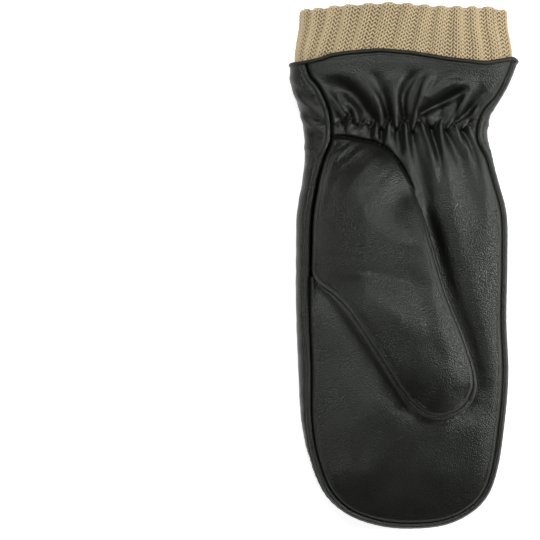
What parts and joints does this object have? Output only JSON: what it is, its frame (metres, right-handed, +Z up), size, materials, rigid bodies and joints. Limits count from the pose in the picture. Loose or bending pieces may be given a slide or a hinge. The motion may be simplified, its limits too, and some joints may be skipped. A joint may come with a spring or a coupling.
{
  "type": "mitten",
  "caption": "Right-hand leather mitten, palm up, with an elastic gathered wrist, a folded-over thumb and a rib-knit cuff.",
  "frame": {"origin": "middle of the part's outline seen from above, on the surface it lies on", "axes": "+Y from the fingertips to the cuff's mouth, +X from the thumb side to the little-finger side, +Z up out of the palm"},
  "size_m": [0.1178, 0.2692, 0.0408],
  "materials": {
    "leather": "soft satin black nappa leather with a fine grain",
    "binding": "satin black leather, rolled and stitched",
    "knit": "matt beige rib knit",
    "thread": "waxed black sewing thread"
  },
  "bodies": {
    "root": {"back_panel": "leather", "side_gusset": "leather", "palm_panel": "leather", "thumb_front": "leather", "thumb_back": "leather", "edge_binding": "binding", "rib_cuff": "knit"}
  },
  "joints": []
}
